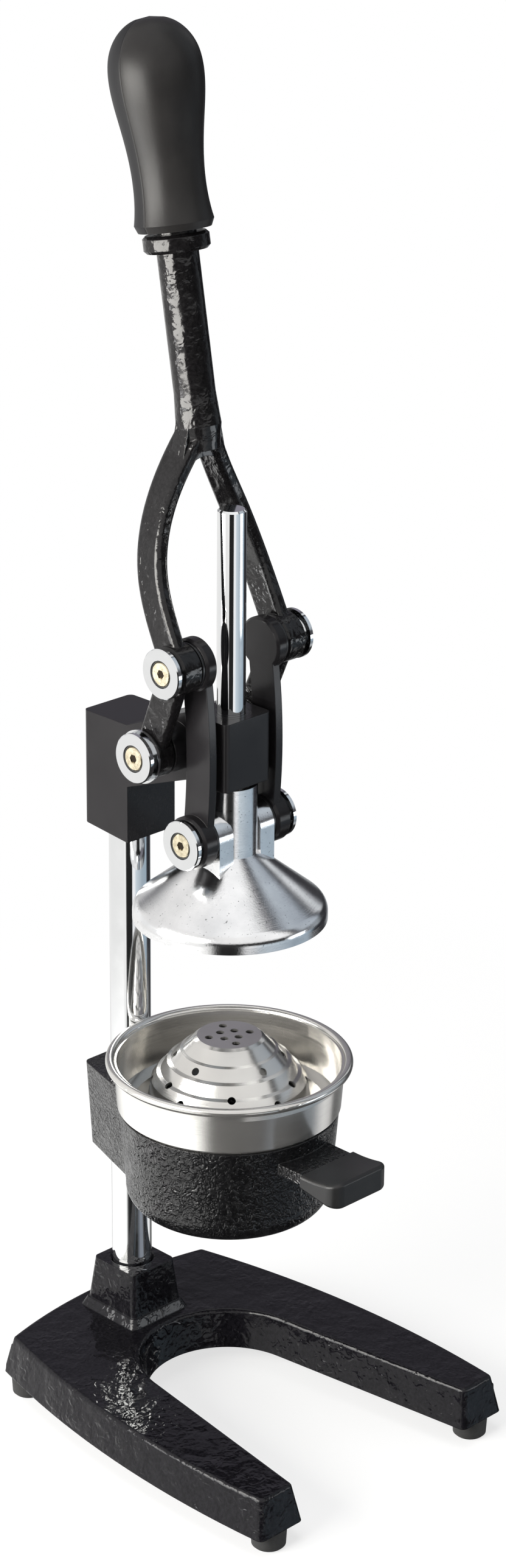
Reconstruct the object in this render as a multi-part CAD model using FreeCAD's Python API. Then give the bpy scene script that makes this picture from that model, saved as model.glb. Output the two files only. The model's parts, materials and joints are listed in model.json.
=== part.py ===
import FreeCAD, Part
import math
import os

os.makedirs("parts", exist_ok=True)

# Lever citrus juice press. Millimetres, +Z up, front towards -Y.
# The origin lies on the floor under the centre of the base.

# Fits and small gaps
SLIDE_FIT = 0.05        # radial gap of a shaft that runs in its hole
SEAT_FIT = 0.03         # radial gap of a pin or screw that is fixed in its hole
AIR = 0.3               # gap between pieces that move past each other

# Base casting
BASE_TOP_DEPTH = 213.3  # front to back along the top edge
LEG_OUT_X = 85.2        # outer corner of a leg at the front
LEG_WIDTH = 22.0        # width of a leg at the front
SIDE_X = 87.0           # widest point of the curved side
SIDE_Y = -6.8           # where the side is widest
REAR_CORNER_X = 69.5
REAR_BULGE = 9.5        # how far the rear edge bows out behind its corners
ARCH_R = 47.0           # round end of the space between the legs
ARCH_BACK = -0.5        # centre of that round end, behind the press axis
BASE_H = 21.0           # height of the casting's side
BASE_DRAFT = 3.8        # how much wider the foot of the side is than its top
BASE_WALL = 7.0
BASE_DECK = 6.0         # thickness of the top of the base
LEG_CORNER_R = 3.5
REAR_CORNER_R = 3.0
DECK_EDGE_R = 2.2

# Feet
FOOT_H = 11.0
FOOT_R = 9.2
FOOT_TIP_R = 8.7
FOOT_SPIGOT_R = 6.0     # spigot that locates the foot under the base
FOOT_SINK = 2.0         # depth of the pocket for that spigot
FRONT_FOOT = (74.5, -101.2)
REAR_FOOT = (65.5, 90.0)
FOOT_BOSS_R = 12.5
FOOT_SCREW_R = 2.0
FOOT_SCREW_HEAD_R = 4.2
FOOT_SCREW_HEAD = 2.4
FOOT_SCREW_SEAT = 6.05  # face under the screw's head, above the floor
SCREW_SLOT = (1.0, 1.2)  # width and depth of the slot in that head

# Post and its boss
PRESS_Y = 4.7           # press axis, in front of which the arch opens
POST_BACK = 74.3        # post axis behind the press axis
POST_R = 10.7
BOSS_HALF_X = 15.0      # half width of the boss at its top
BOSS_HALF_Y = 16.0      # half depth there
BOSS_SPREAD = 3.2       # how much wider the boss is where it meets its skirt
BOSS_FORWARD = 1.6      # boss centre in front of the post axis
BOSS_H = 29.0           # above the deck
SKIRT_SPREAD = 2.8      # how much wider the skirt is than the boss's foot
SKIRT_H = 4.8
BOSS_CORNER_R = 3.0
BOSS_MOUTH = 1.3        # chamfer round the post's hole
POST_LEDGE = 6.0        # thickness of the ledge under the post
POST_COLUMN_R = 19.0
BOLT_R = 5.0
BOLT_HEAD_R = 9.0
BOLT_HEAD_H = 6.5
BOLT_REACH = 22.0       # how far the bolt goes into the post
WASHER_R = 12.0
WASHER_T = 1.6
BOLT_CLEAR = 1.0        # bolt's head above the base's lower edge

# Bowl bracket
BOWL_BOTTOM_Z = 125.4
BOWL_H = 53.5
BOWL_TOP_R = 56.8
BOWL_LOW_R = 53.4
BOWL_FLOOR_R = 45.5
BOWL_WALL = 4.6
BOWL_ROUND_H = 12.0     # height of the rounded lower edge
BOWL_OUTLET_R = 34.0
BOWL_FLOOR_RISE = 3.0   # floor climbs from the outlet to the wall
BOWL_BELLY = (0.72, 0.36)   # shares of the rounded edge's width and height at its middle
NECK_REAR_HALF = 17.0   # half width of the clamp behind the post
NECK_FRONT_HALF = 31.0  # half width where the neck meets the bowl
NECK_WALL = 7.0         # wall behind the post
NECK_DRAFT = 2.8
NECK_H = 46.5
NECK_DROP = 1.5         # neck's top below the bowl's rim
NECK_EDGE_R = 4.0
ROOT = 2.0              # how far a neck or tab reaches into the wall that it grows from
TAB_HALF = 17.4
TAB_T = 6.0
TAB_DROP = 8.0          # tab's top below the bowl's rim
TONGUE_HALF = 13.0      # tongue of the tab inside its grip
TONGUE_T = 3.2
TONGUE_LEN = 18.0
GRIP_HALF = 19.8
GRIP_GAP = 14.0         # bowl wall to the back of the tab grip
GRIP_LEN = 24.5
GRIP_BACK_H = 7.4
GRIP_FRONT_H = 14.6
GRIP_RISE = 3.0         # grip's top, front edge above back edge
GRIP_DISH = 1.0         # hollow of the grip's top
GRIP_CORNER_R = 7.0
GRIP_EDGE_R = 1.8

# Strainer cup
SHEET = 1.2
LIP_R = 63.5
LIP_TUBE_R = 2.3
CUP_H = 28.0            # lip's top above the bowl's rim
CUP_WALL_TOP_R = 59.0
CUP_WALL_LOW_R = 57.7
CUP_WALL_BEND = 0.7     # share of the cup's height where the wall turns upright
CUP_SEAT = 2.0          # width and height of the step that rests on the bowl's rim
CUP_FLOOR_DROP = 7.0    # floor below the bowl's rim
DOME_BASE_R = 44.0      # where the dome meets the cup's floor
DOME_FLANK = (40.0, 15.6)   # radius and height above the bowl's rim, here and below
DOME_BEAD_LOW = (37.2, 19.6)
DOME_STEP_LOW = (35.2, 20.4)
DOME_BEAD_HIGH = (31.9, 26.0)
DOME_STEP_HIGH = (29.9, 26.9)
DOME_BEAD_TOP = (25.2, 32.2)
DOME_STEP_TOP = (23.6, 32.9)
DOME_CROWN = (18.3, 38.4)
DOME_TOP = (16.6, 39.6)
DOME_FORM = 0.75        # inner corner's shift, down and inwards, in sheet thicknesses
DRAIN_R = 2.1
DRAIN_IN = 0.325          # shares of the flat top's radius for its two rings of holes
DRAIN_OUT = 0.66
DRAIN_BELOW = 2.2       # top row on the flank, outside the upper step
DRAIN_LEAN = (50, 62)   # lean of the two lower rows' holes, degrees
DRAIN_LOW = 0.4
DRAIN_REACH = 8.0       # half length of the cutter
FLANK_ANGLES = [-141.5, -87, -38, 38, 87, 141.5]
VIEW_TURN = 225.7       # the strainer's turn in its bowl, degrees

# Head casting
HEAD_BOTTOM_Z = 311.4
HEAD_HALF = 16.5
HEAD_H = 64.0
HEAD_REAR_RISE = 3.0    # the underside climbs towards the rear
HEAD_WALL = 5.7         # wall in front of and behind the post
HEAD_CAP_T = 7.0        # closed top over the post
ARM_LOW = 30.6          # arm's underside above the head's bottom, at the head
GUIDE_HALF = 15.7
GUIDE_FRONT = 12.6      # front of the guide block, before the press axis
GUIDE_BACK = 15.5
GUIDE_LOW = 46.4        # guide block's bottom above the head's bottom
GUIDE_H = 35.7
HEAD_EDGE_R = 3.0
HEAD_SCREWS = (0.3, 0.68)   # heights of the clamp screws, as shares of the head's height

# Lever linkage
FULCRUM_BACK = 22.1     # fulcrum behind the press axis
FULCRUM_UP = 63.3       # fulcrum above the head's bottom
CRANK = 53.4            # fulcrum to knee pivot
CRANK_LEAN = 22.7       # degrees forward of upright, at rest
LINK_LENGTH = 92.0      # knee pivot to lower pivot
PIN_R = 5.0
BARREL_R = 12.5
FULCRUM_BOSS_X = 28.0   # outer end of the head's fulcrum boss
LEVER_BARREL_LEN = 11.3
KNEE_BARREL_LEN = 12.7
LINK_IN_X = 20.5        # inner face of a link
LINK_T = 4.6
LINK_HALF = 8.3
LINK_BOW = 3.5
LINK_KNEE_BOSS = 7.1    # length of the link's upper boss
LINK_FOOT_BOSS = 9.6    # length of the link's lower boss
LINK_BOSS_R = 13.6
LINK_SKIN = 2.0         # link's wall behind its blind hole at the knee pivot
BOSS_EDGE = 1.2
PIN_SEAT = 6.0          # how far a fulcrum pin reaches into the head's side
THIN_WASHER = 1.4
THIN_WASHER_R = 12.0
SHOW_WASHER_R = 13.6

# Pivot caps and their screws
CAP_R = 12.7
CAP_T = 2.4
CAP_NECK_R = 9.5
CAP_NECK = 2.1
CAP_RECESS_R = 7.0
CAP_RECESS = 1.6
CAP_EDGE = 0.5
CAP_SCREW_R = 2.5
CAP_SCREW_HEAD_R = 6.0
CAP_SCREW_HEAD = 1.4
CAP_SCREW_REACH = 9.0
SOCKET_AF = 4.2         # hexagon socket, across flats
SOCKET_DEPTH = 0.9
SCREW_DOME = 0.4

# Lever casting and its grip
SHAFT_TILT = 10.1       # degrees back of upright
SHAFT_FOOT_BACK = 21.9  # foot of the shaft from the knee pivot
SHAFT_FOOT_UP = 111.0
SHAFT_R = 10.2
SHAFT_LEN = 94.2
TANG_R = 6.0
TANG_LEN = 60.0
ARM_X_T = 7.5           # fork arm's thickness, side to side
ARM_Y_T = 16.5          # fork arm's thickness, front to back
ARM_EDGE_R = 2.4
MILL_IN = 8.0           # milled faces beside the barrels, beyond a barrel's radius
MILL_OUT = 3.0
MILL_LEN = 10.0
FORK_BULGE = 26.0       # how far back the fork arms bow from the knee pivot
WEB_T = 9.0
WEB_HALF = 17.0         # half width of the web at its foot
WEB_ARCH = 13.0         # crotch above the web's foot
WEB_BACK = 0.86         # web's middle, as a share of the fork's bulge
WEB_OVERLAP = 8.0       # web's reach above the foot of the shaft
SHAFT_SWELL = 1.0       # shaft's extra radius at its foot
SHAFT_ROOT = 12.0       # shaft below its foot, inside the fork
SHAFT_TAPER = 16.0
ARM_PATH = [(0.13, 0.83, 0.97), (0.45, 0.97, 0.78), (0.76, 0.93, 0.57), (0.93, 0.74, 0.38), (0.99, 0.42, 0.2),
            (1.0, 0.06, 0.03)]      # shares of the arm's spread, bulge and height
CROTCH_UP = 96.0        # crotch of the fork above the knee pivot
FERRULE_R = 16.2
FERRULE_LEN = 8.6
FERRULE_GAP = 1.6       # bare shaft between the ferrule and the grip
FERRULE_EDGE = 1.5
HANDLE_LEN = 100.0
HANDLE_LIP_R = 19.3
HANDLE_WAIST_R = 17.5
HANDLE_BULB_R = 22.8
HANDLE_LIP = 0.035      # heights along the grip, as shares of its length
HANDLE_WAIST = 0.19
HANDLE_BULB = 0.745
HANDLE_CROWN = 0.99
HANDLE_CROWN_R = 6.84   # radius of the flat crown's edge
HANDLE_LIP_EDGE = 1.5

# Press cone and rod
CONE_RIM_R = 49.3
CONE_RIM_H = 7.5
CONE_WALL = 5.0
CONE_H = 36.0           # rim's lower edge to the shoulder of the stem
CONE_EDGE_R = 8.0       # round edge between the rim and the flank
CONE_DROP = 47.4        # rim's lower edge below the lower pivot
CONE_LIP = 3.5          # height of the upright band inside the rim
CONE_PEAK = 0.8         # radius of the hollow's flat roof, as a share of the stem's
CONE_ROOF_T = 7.0       # metal over the hollow
STEM_R = 13.6
STEM_GAP = 1.0          # stem's top below the guide block, at rest
EAR_OUT_X = 19.0
EAR_T = 9.5
EAR_R = 12.0            # ear's round top, about the lower pivot
EAR_ROOT = 14.0         # ear's root above the rim's lower edge
EAR_SKIN = 1.0          # ear's wall behind its blind pivot hole
ROD_R = 7.2
ROD_TOP_UP = 186.6      # rod's top above the head's bottom
ROD_SPIGOT_R = 5.0
ROD_SPIGOT = 22.0
ROD_CHAMFER = 1.0
BUSH_R = 9.6
BUSH_LEN = 14.0

# Set screws
SET_SCREW_R = 3.0
SET_SCREW_SOCKET_R = 1.5
SET_SCREW_SOCKET = 2.0
SET_SCREW_SINK = 0.6     # outer end below the surface round it

# Places worked out from the sizes above
POST_Y = PRESS_Y + POST_BACK
DECK_Z = FOOT_H + BASE_H
BOSS_TOP_Z = DECK_Z + BOSS_H
BOWL_TOP_Z = BOWL_BOTTOM_Z + BOWL_H
HEAD_TOP_Z = HEAD_BOTTOM_Z + HEAD_H
GUIDE_LOW_Z = HEAD_BOTTOM_Z + GUIDE_LOW
GUIDE_TOP_Z = GUIDE_LOW_Z + GUIDE_H
FULCRUM = (PRESS_Y + FULCRUM_BACK, HEAD_BOTTOM_Z + FULCRUM_UP)
KNEE = (FULCRUM[0] - CRANK * math.sin(math.radians(CRANK_LEAN)),
        FULCRUM[1] + CRANK * math.cos(math.radians(CRANK_LEAN)))
LOWER = (PRESS_Y, KNEE[1] - math.sqrt(LINK_LENGTH ** 2 - (KNEE[0] - PRESS_Y) ** 2))
CONE_RIM_Z = LOWER[1] - CONE_DROP
STEM_TOP_Z = GUIDE_LOW_Z - STEM_GAP
POST_BOTTOM_Z = FOOT_H + BOLT_CLEAR + BOLT_HEAD_H + WASHER_T + POST_LEDGE
POST_TOP_Z = HEAD_TOP_Z - HEAD_CAP_T
LEVER_BARREL_IN = FULCRUM_BOSS_X + AIR
LEVER_BARREL_OUT = LEVER_BARREL_IN + LEVER_BARREL_LEN
LINK_KNEE_OUT = LINK_IN_X + LINK_KNEE_BOSS
KNEE_BARREL_IN = LINK_KNEE_OUT + THIN_WASHER + 2 * AIR / 3
KNEE_BARREL_OUT = KNEE_BARREL_IN + KNEE_BARREL_LEN
LINK_FOOT_OUT = LINK_IN_X + LINK_FOOT_BOSS


def vec(x, y, z):
    return FreeCAD.Vector(x, y, z)


def cyl_z(r, z0, z1, x=0.0, y=0.0):
    return Part.makeCylinder(r, z1 - z0, vec(x, y, z0))


def cyl_x(r, x0, x1, y, z):
    return Part.makeCylinder(r, x1 - x0, vec(x0, y, z), vec(1, 0, 0))


def cyl_y(r, y0, y1, x, z):
    return Part.makeCylinder(r, y1 - y0, vec(x, y0, z), vec(0, 1, 0))


def line(a, b):
    return Part.LineSegment(a, b).toShape()


def arc(a, b, c):
    return Part.Arc(a, b, c).toShape()


def mirrored(shape):
    return shape.mirror(vec(0, 0, 0), vec(1, 0, 0))


def chain(points, close=True):
    """Straight edges through the points, joined into one wire."""
    ends = points + points[:1] if close else points
    return Part.Wire([line(a, b) for a, b in zip(ends, ends[1:])])


def turned(points, x=0.0, y=0.0):
    """Solid of revolution about a vertical line, from (radius, height) corners."""
    wire = chain([vec(x + r, y, z) for r, z in points])
    return Part.Face(wire).revolve(vec(x, y, 0), vec(0, 0, 1), 360)


def turned_x(points, y, z):
    """Solid of revolution about a line along X, from (x, radius) corners."""
    wire = chain([vec(x, y, z + r) for x, r in points])
    return Part.Face(wire).revolve(vec(0, y, z), vec(1, 0, 0), 360)


def rounded_rect(half_x, half_y, r, z, x=0.0, y=0.0):
    """Rectangle with round corners in a level plane."""
    k = r * (1 - math.sqrt(0.5))
    edges = []
    for sx, sy, swap in ((1, -1, 0), (1, 1, 1), (-1, 1, 0), (-1, -1, 1)):
        cx = x + sx * half_x
        cy = y + sy * half_y
        a = vec(cx - sx * r, cy, z)
        m = vec(cx - sx * k, cy - sy * k, z)
        b = vec(cx, cy - sy * r, z)
        edges.append((b, m, a) if swap else (a, m, b))
    out = []
    for i, (a, m, b) in enumerate(edges):
        out.append(arc(a, m, b))
        out.append(line(b, edges[(i + 1) % 4][0]))
    return Part.Wire(out)


def loft(wires, ruled=True):
    return Part.makeLoft(wires, True, ruled)


def fuse_all(shapes):
    body = shapes[0].multiFuse(shapes[1:])
    return body.removeSplitter()


def fillet_where(shape, radius, test):
    return shape.makeFillet(radius, [e for e in shape.Edges if test(e)])


def ends_level(edge, z, tol=1e-4):
    return all(abs(v.Z - z) < tol for v in edge.Vertexes)


def hexagon(across_flats, z, x=0.0, y=0.0):
    r = across_flats / math.sqrt(3)
    return chain([vec(x + r * math.cos(math.radians(60 * i)), y + r * math.sin(math.radians(60 * i)), z)
                  for i in range(6)])


def export(name, shape):
    solid = shape
    if shape.ShapeType == "Compound" and len(shape.Solids) == 1:
        solid = shape.Solids[0]
    solid.exportStep("parts/%s.step" % name)


# Base

def base_outline(grow, z):
    """Plan of the U-shaped base at one height, grown outwards by a margin."""
    front = -BASE_TOP_DEPTH / 2 - grow
    rear = BASE_TOP_DEPTH / 2 + grow
    out_x = LEG_OUT_X + grow
    in_x = LEG_OUT_X - LEG_WIDTH - grow
    corner = (REAR_CORNER_X + grow, rear - REAR_BULGE)
    arch_r = ARCH_R - grow
    arch_y = PRESS_Y + ARCH_BACK
    reach = math.hypot(in_x, front - arch_y)
    turn = math.atan2(front - arch_y, in_x) + math.acos(arch_r / reach)
    touch = (arch_r * math.cos(turn), arch_y + arch_r * math.sin(turn))
    side = SIDE_X + grow
    return Part.Wire([
        line(vec(in_x, front, z), vec(out_x, front, z)),
        arc(vec(out_x, front, z), vec(side, SIDE_Y, z), vec(corner[0], corner[1], z)),
        arc(vec(corner[0], corner[1], z), vec(0, rear, z), vec(-corner[0], corner[1], z)),
        arc(vec(-corner[0], corner[1], z), vec(-side, SIDE_Y, z), vec(-out_x, front, z)),
        line(vec(-out_x, front, z), vec(-in_x, front, z)),
        line(vec(-in_x, front, z), vec(-touch[0], touch[1], z)),
        arc(vec(-touch[0], touch[1], z), vec(0, arch_y + arch_r, z), vec(touch[0], touch[1], z)),
        line(vec(touch[0], touch[1], z), vec(in_x, front, z)),
    ])


def foot_places():
    return {
        "front_left": (-FRONT_FOOT[0], FRONT_FOOT[1]),
        "front_right": FRONT_FOOT,
        "rear_left": (-REAR_FOOT[0], REAR_FOOT[1]),
        "rear_right": REAR_FOOT,
    }


def boss_outline(grow, z):
    return rounded_rect(BOSS_HALF_X + grow, BOSS_HALF_Y + grow, BOSS_CORNER_R, z, 0, POST_Y - BOSS_FORWARD)


def base_casting():
    shell = loft([base_outline(BASE_DRAFT, FOOT_H), base_outline(0, DECK_Z)])
    front = -BASE_TOP_DEPTH / 2

    def upright(e):
        return abs(e.Vertexes[0].Z - e.Vertexes[-1].Z) > BASE_H / 2

    def at_leg(e):
        return upright(e) and e.Vertexes[0].Y < front + 1

    def at_rear(e):
        return upright(e) and e.Vertexes[0].Y > BASE_TOP_DEPTH / 4

    shell = fillet_where(shell, LEG_CORNER_R, at_leg)
    shell = fillet_where(shell, REAR_CORNER_R, at_rear)
    shell = fillet_where(shell, DECK_EDGE_R, lambda e: ends_level(e, DECK_Z))
    under = DECK_Z - BASE_DECK
    slope = BASE_DRAFT / BASE_H
    pocket = loft([base_outline(BASE_DRAFT - BASE_WALL + slope, FOOT_H - 1),
                   base_outline(slope * BASE_DECK - BASE_WALL, under)])
    shell = shell.cut(pocket)
    adds = [shell]
    for x, y in foot_places().values():
        adds.append(cyl_z(FOOT_BOSS_R, FOOT_H, under + 1, x, y))
    ledge_z = POST_BOTTOM_Z - POST_LEDGE
    adds.append(cyl_z(POST_COLUMN_R, ledge_z, under + 1, 0, POST_Y))
    skirt_foot = boss_outline(BOSS_SPREAD + SKIRT_SPREAD, DECK_Z - 1)
    adds.append(loft([skirt_foot, boss_outline(BOSS_SPREAD, DECK_Z + SKIRT_H)]))
    adds.append(loft([boss_outline(BOSS_SPREAD, DECK_Z - 1), boss_outline(0, BOSS_TOP_Z)]))
    body = fuse_all(adds)
    outer = loft([base_outline(BASE_DRAFT, FOOT_H), base_outline(0, DECK_Z)])
    tower = cyl_z(BASE_TOP_DEPTH, DECK_Z - 2, BOSS_TOP_Z + 1)
    body = body.common(outer.fuse(tower))
    body = body.cut(cyl_z(POST_R + SEAT_FIT, POST_BOTTOM_Z, BOSS_TOP_Z + 1, 0, POST_Y))
    body = body.cut(cyl_z(BOLT_R + SLIDE_FIT, FOOT_H, POST_BOTTOM_Z + 1, 0, POST_Y))
    hole_r = POST_R + SEAT_FIT
    mouth = [(0, BOSS_TOP_Z - BOSS_MOUTH), (hole_r, BOSS_TOP_Z - BOSS_MOUTH), (hole_r + BOSS_MOUTH, BOSS_TOP_Z),
             (hole_r + BOSS_MOUTH, BOSS_TOP_Z + 1), (0, BOSS_TOP_Z + 1)]
    body = body.cut(turned(mouth, 0, POST_Y))
    for x, y in foot_places().values():
        body = body.cut(cyl_z(FOOT_SPIGOT_R + SEAT_FIT, FOOT_H - 1, FOOT_H + FOOT_SINK, x, y))
        body = body.cut(cyl_z(FOOT_SCREW_R + SEAT_FIT, FOOT_H, under - 1, x, y))
    screw_z = DECK_Z + BOSS_H / 2
    body = body.cut(cyl_y(SET_SCREW_R + SEAT_FIT, POST_Y, POST_Y + 2 * BOSS_HALF_Y, 0, screw_z))
    return body


def rubber_foot(x, y):
    top = FOOT_H + FOOT_SINK
    seat = FOOT_SCREW_SEAT
    profile = [(FOOT_SCREW_R + SEAT_FIT, seat), (FOOT_SCREW_HEAD_R + AIR, seat),
               (FOOT_SCREW_HEAD_R + AIR, 0), (FOOT_TIP_R - 1, 0), (FOOT_TIP_R, 1),
               (FOOT_R, FOOT_H - 1), (FOOT_R, FOOT_H), (FOOT_SPIGOT_R, FOOT_H), (FOOT_SPIGOT_R, top),
               (FOOT_SCREW_R + SEAT_FIT, top)]
    return turned(profile, x, y)


def foot_screw(x, y):
    seat = FOOT_SCREW_SEAT
    top = DECK_Z - BASE_DECK - 2
    low = seat - FOOT_SCREW_HEAD
    wide, deep = SCREW_SLOT
    body = cyl_z(FOOT_SCREW_HEAD_R, low, seat, x, y).fuse(cyl_z(FOOT_SCREW_R, seat, top, x, y))
    slot = Part.makeBox(2 * FOOT_SCREW_HEAD_R, wide, deep, vec(x - FOOT_SCREW_HEAD_R, y - wide / 2, low))
    return body.cut(slot).removeSplitter()


def post():
    body = cyl_z(POST_R, POST_BOTTOM_Z, POST_TOP_Z, 0, POST_Y)
    return body.cut(cyl_z(BOLT_R + SEAT_FIT, POST_BOTTOM_Z - 1, POST_BOTTOM_Z + BOLT_REACH + 2, 0, POST_Y))


def post_washer():
    z1 = POST_BOTTOM_Z - POST_LEDGE
    ring = cyl_z(WASHER_R, z1 - WASHER_T, z1, 0, POST_Y)
    return ring.cut(cyl_z(BOLT_R + SLIDE_FIT, z1 - WASHER_T - 1, z1 + 1, 0, POST_Y))


def post_bolt():
    head_top = POST_BOTTOM_Z - POST_LEDGE - WASHER_T
    head = Part.Face(hexagon(BOLT_HEAD_R * math.sqrt(3), head_top - BOLT_HEAD_H, 0, POST_Y))
    head = head.extrude(vec(0, 0, BOLT_HEAD_H))
    shank = cyl_z(BOLT_R, head_top - 1, POST_BOTTOM_Z + BOLT_REACH, 0, POST_Y)
    return head.fuse(shank).removeSplitter()


def set_screw(y_tip, y_out, z):
    """Headless screw along Y with a round-cornered socket in its outer end."""
    body = cyl_y(SET_SCREW_R, y_tip, y_out, 0, z)
    return body.cut(cyl_y(SET_SCREW_SOCKET_R, y_out - SET_SCREW_SOCKET, y_out + 1, 0, z))


# Bowl bracket

def bowl_outer():
    z0 = BOWL_BOTTOM_Z
    knee = (BOWL_LOW_R, z0 + BOWL_ROUND_H)
    mid_r = BOWL_FLOOR_R + (BOWL_LOW_R - BOWL_FLOOR_R) * BOWL_BELLY[0]
    mid = vec(mid_r, PRESS_Y, z0 + BOWL_ROUND_H * BOWL_BELLY[1])
    wire = Part.Wire([
        line(vec(0, PRESS_Y, z0), vec(BOWL_FLOOR_R, PRESS_Y, z0)),
        arc(vec(BOWL_FLOOR_R, PRESS_Y, z0), mid, vec(knee[0], PRESS_Y, knee[1])),
        line(vec(knee[0], PRESS_Y, knee[1]), vec(BOWL_TOP_R, PRESS_Y, BOWL_TOP_Z)),
        line(vec(BOWL_TOP_R, PRESS_Y, BOWL_TOP_Z), vec(0, PRESS_Y, BOWL_TOP_Z)),
        line(vec(0, PRESS_Y, BOWL_TOP_Z), vec(0, PRESS_Y, z0)),
    ])
    return Part.Face(wire).revolve(vec(0, PRESS_Y, 0), vec(0, 0, 1), 360)


def bowl_inner():
    z0 = BOWL_BOTTOM_Z + BOWL_WALL
    low = BOWL_LOW_R - BOWL_WALL
    profile = [(0, z0 - 2 * BOWL_WALL), (BOWL_OUTLET_R, z0 - 2 * BOWL_WALL), (BOWL_OUTLET_R, z0),
               (BOWL_FLOOR_R - BOWL_WALL / 2, z0 + BOWL_FLOOR_RISE), (low, z0 + BOWL_ROUND_H),
               (BOWL_TOP_R - BOWL_WALL, BOWL_TOP_Z), (BOWL_TOP_R - BOWL_WALL, BOWL_TOP_Z + BOWL_H),
               (0, BOWL_TOP_Z + BOWL_H)]
    return turned(profile, 0, PRESS_Y)


def neck_wire(shrink, z):
    rear = POST_Y + POST_R + NECK_WALL - shrink
    front = PRESS_Y + math.sqrt(max(BOWL_LOW_R ** 2 - NECK_FRONT_HALF ** 2, 1.0)) - ROOT
    half = NECK_REAR_HALF - shrink / 2
    return chain([vec(-half, rear, z), vec(half, rear, z), vec(NECK_FRONT_HALF, front, z),
                  vec(-NECK_FRONT_HALF, front, z)])


def bracket_casting():
    top = BOWL_TOP_Z - NECK_DROP
    neck = loft([neck_wire(NECK_DRAFT, top - NECK_H), neck_wire(0, top)])

    def rear_edge(e):
        return all(v.Y > POST_Y for v in e.Vertexes)

    neck = fillet_where(neck, NECK_EDGE_R, lambda e: rear_edge(e) and e.Vertexes[0].Z != e.Vertexes[-1].Z
                        and abs(e.Vertexes[0].Z - e.Vertexes[-1].Z) > NECK_H / 2)
    tab_top = BOWL_TOP_Z - TAB_DROP
    tab_front = grip_back_y() + SEAT_FIT
    root = BOWL_TOP_R - math.sqrt(BOWL_LOW_R ** 2 - TAB_HALF ** 2) + ROOT
    tab = Part.makeBox(2 * TAB_HALF, GRIP_GAP - SEAT_FIT + root, TAB_T,
                       vec(-TAB_HALF, tab_front, tab_top - TAB_T))
    tongue = Part.makeBox(2 * TONGUE_HALF, TONGUE_LEN + 1, TONGUE_T,
                          vec(-TONGUE_HALF, tab_front - TONGUE_LEN, tab_top - (TAB_T + TONGUE_T) / 2))
    body = fuse_all([bowl_outer(), neck, tab, tongue]).cut(bowl_inner())
    body = body.cut(cyl_z(POST_R + SEAT_FIT, 0, HEAD_TOP_Z, 0, POST_Y))
    screw_z = top - NECK_H / 2
    body = body.cut(cyl_y(SET_SCREW_R + SEAT_FIT, POST_Y, POST_Y + POST_R + 2 * NECK_WALL, 0, screw_z))
    return body


def grip_back_y():
    return PRESS_Y - BOWL_TOP_R - GRIP_GAP


def tab_grip():
    """Moulded sleeve on the tab: a wedge that grows towards the front, with a dished top."""
    back = grip_back_y()
    front = back - GRIP_LEN
    tab_top = BOWL_TOP_Z - TAB_DROP
    top = tab_top + (GRIP_BACK_H - TAB_T) / 2
    high = top + GRIP_RISE
    x = -GRIP_HALF
    side = Part.Wire([
        line(vec(x, back, top), vec(x, back, top - GRIP_BACK_H)),
        line(vec(x, back, top - GRIP_BACK_H), vec(x, front, high - GRIP_FRONT_H)),
        line(vec(x, front, high - GRIP_FRONT_H), vec(x, front, high)),
        arc(vec(x, front, high), vec(x, (front + back) / 2, (high + top) / 2 - GRIP_DISH), vec(x, back, top)),
    ])
    body = Part.Face(side).extrude(vec(2 * GRIP_HALF, 0, 0))
    body = fillet_where(body, GRIP_CORNER_R, lambda e: all(abs(v.Y - front) < 0.01 for v in e.Vertexes)
                        and abs(e.Vertexes[0].X - e.Vertexes[-1].X) < 0.01)
    body = fillet_where(body, GRIP_EDGE_R, lambda e: any(v.Y < back - 0.01 for v in e.Vertexes)
                        and not (e.Curve.__class__ is Part.Line and abs(e.Vertexes[0].Z - e.Vertexes[-1].Z)
                                 > GRIP_BACK_H * 0.8))
    slack = SEAT_FIT
    pocket = Part.makeBox(2 * (TONGUE_HALF + slack), TONGUE_LEN + 1 + slack, TONGUE_T + 2 * slack,
                          vec(-TONGUE_HALF - slack, back - TONGUE_LEN - slack,
                              tab_top - (TAB_T + TONGUE_T) / 2 - slack))
    return body.cut(pocket)


# Strainer cup

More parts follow.
